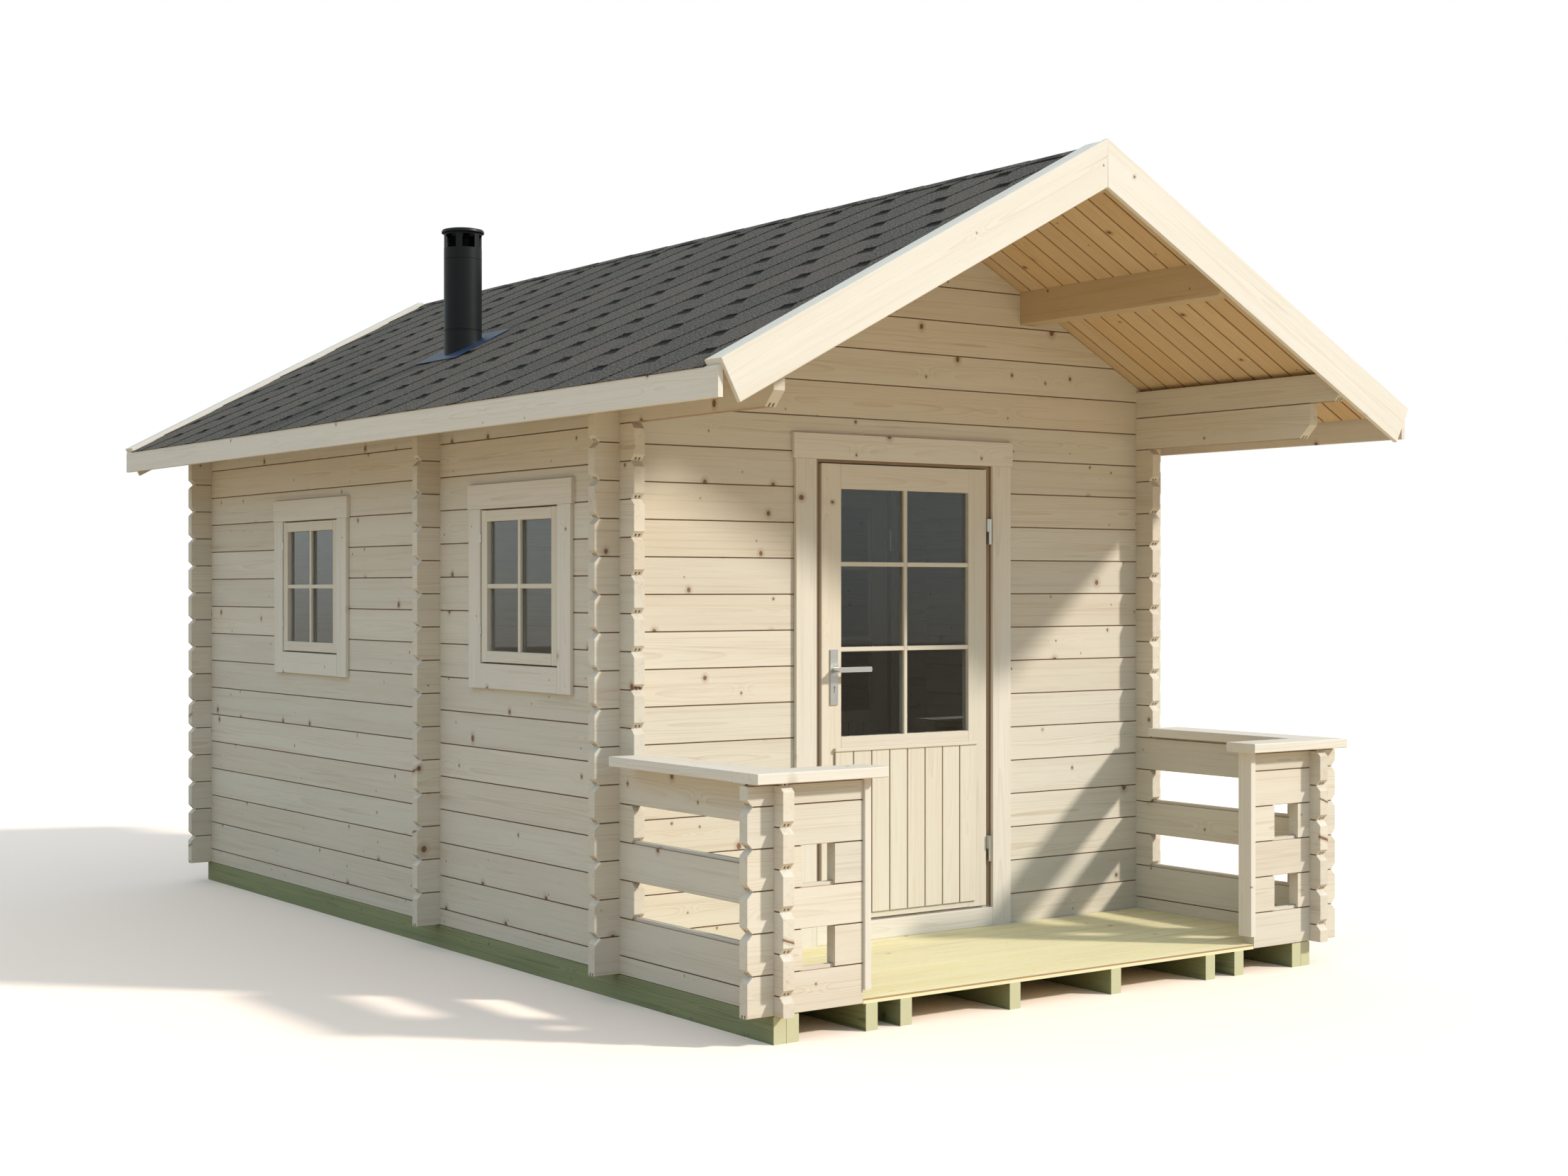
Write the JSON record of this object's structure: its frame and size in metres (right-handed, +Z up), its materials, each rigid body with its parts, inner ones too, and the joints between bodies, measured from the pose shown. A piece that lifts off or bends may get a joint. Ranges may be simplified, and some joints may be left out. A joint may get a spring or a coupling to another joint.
{
  "type": "log sauna cabin with covered porch",
  "caption": "Log cabin for a sauna: gable roof with shingles over a railed porch, a glazed door, two side windows, a dressing room and a sauna room, on ground beams.",
  "frame": {"origin": "on the ground, under the middle of the roof in plan", "axes": "+Z up, front gable and door face -Y, window wall faces -X"},
  "size_m": [3.264, 5.375, 3.0328],
  "materials": {
    "treated_beam": "rough sawn pressure-treated softwood, slightly green",
    "treated_deck": "planed pressure-treated boards, slightly green",
    "floor_board": "planed spruce boards",
    "log": "planed natural spruce, untreated",
    "planed_trim": "planed natural spruce, untreated",
    "purlin": "planed natural spruce, untreated",
    "roof_board": "planed tongue and groove spruce",
    "joinery": "planed natural pine joinery",
    "pane": "clear float glass",
    "shingle": "mineral-coated bitumen shingle",
    "steel": "satin steel",
    "black_metal": "satin black painted steel",
    "flashing": "dark coated sheet"
  },
  "bodies": {
    "cabin": {"base_frame": "treated_beam", "porch_deck": "treated_deck", "room_floors": "floor_board", "left_wall": "log", "right_wall": "log", "front_wall_left": "log", "front_wall_right": "log", "front_gable": "log", "partition_wall": "log", "rear_wall": "log", "porch_returns": "log", "return_cover_boards": "planed_trim", "rail_caps": "planed_trim", "door_architrave": "planed_trim", "inner_door_architrave": "planed_trim", "window_trims": "planed_trim", "barge_boards": "planed_trim", "verge_strips": "planed_trim", "eave_fascias": "planed_trim", "door_threshold": "planed_trim", "inner_door_threshold": "planed_trim", "purlins": "purlin", "roof_boards_left": "roof_board", "roof_boards_right": "roof_board", "door_frame": "joinery", "inner_door_frame": "joinery", "window_frames": "joinery", "window_sashes": "joinery", "window_panes": "pane", "shingles_left": "shingle", "shingles_right": "shingle", "ridge_cap": "shingle", "door_hinge_frame_halves": "steel", "inner_door_hinge_frame_halves": "steel", "chimney_flue": "black_metal", "chimney_cowl": "black_metal", "chimney_flashing": "flashing"},
    "door": {"door_leaf": "joinery", "door_panel": "joinery", "door_pane": "pane", "door_hinge_leaf_halves": "steel", "door_handle_plate": "steel"},
    "lever": {"door_lever": "steel"},
    "inner_door": {"inner_door_leaf": "joinery", "inner_door_panel": "joinery", "inner_door_pane": "pane", "inner_door_hinge_leaf_halves": "steel", "inner_door_pull": "joinery"}
  },
  "joints": [
    {"name": "door_hinge", "type": "hinge", "parent": "cabin", "child": "door", "pos_m": [0.426, -1.5775, 0.37], "axis": [0, 0, 1], "range_deg": [0, 105]},
    {"name": "lever_turn", "type": "hinge", "parent": "door", "child": "lever", "pos_m": [-0.355, -1.5705, 1.155], "axis": [0, 1, 0], "range_deg": [0, 40], "stiffness_Nm_per_rad": 0.6},
    {"name": "inner_door_hinge", "type": "hinge", "parent": "cabin", "child": "inner_door", "pos_m": [1.031, -0.1775, 0.37], "axis": [0, 0, 1], "range_deg": [0, 90]}
  ]
}
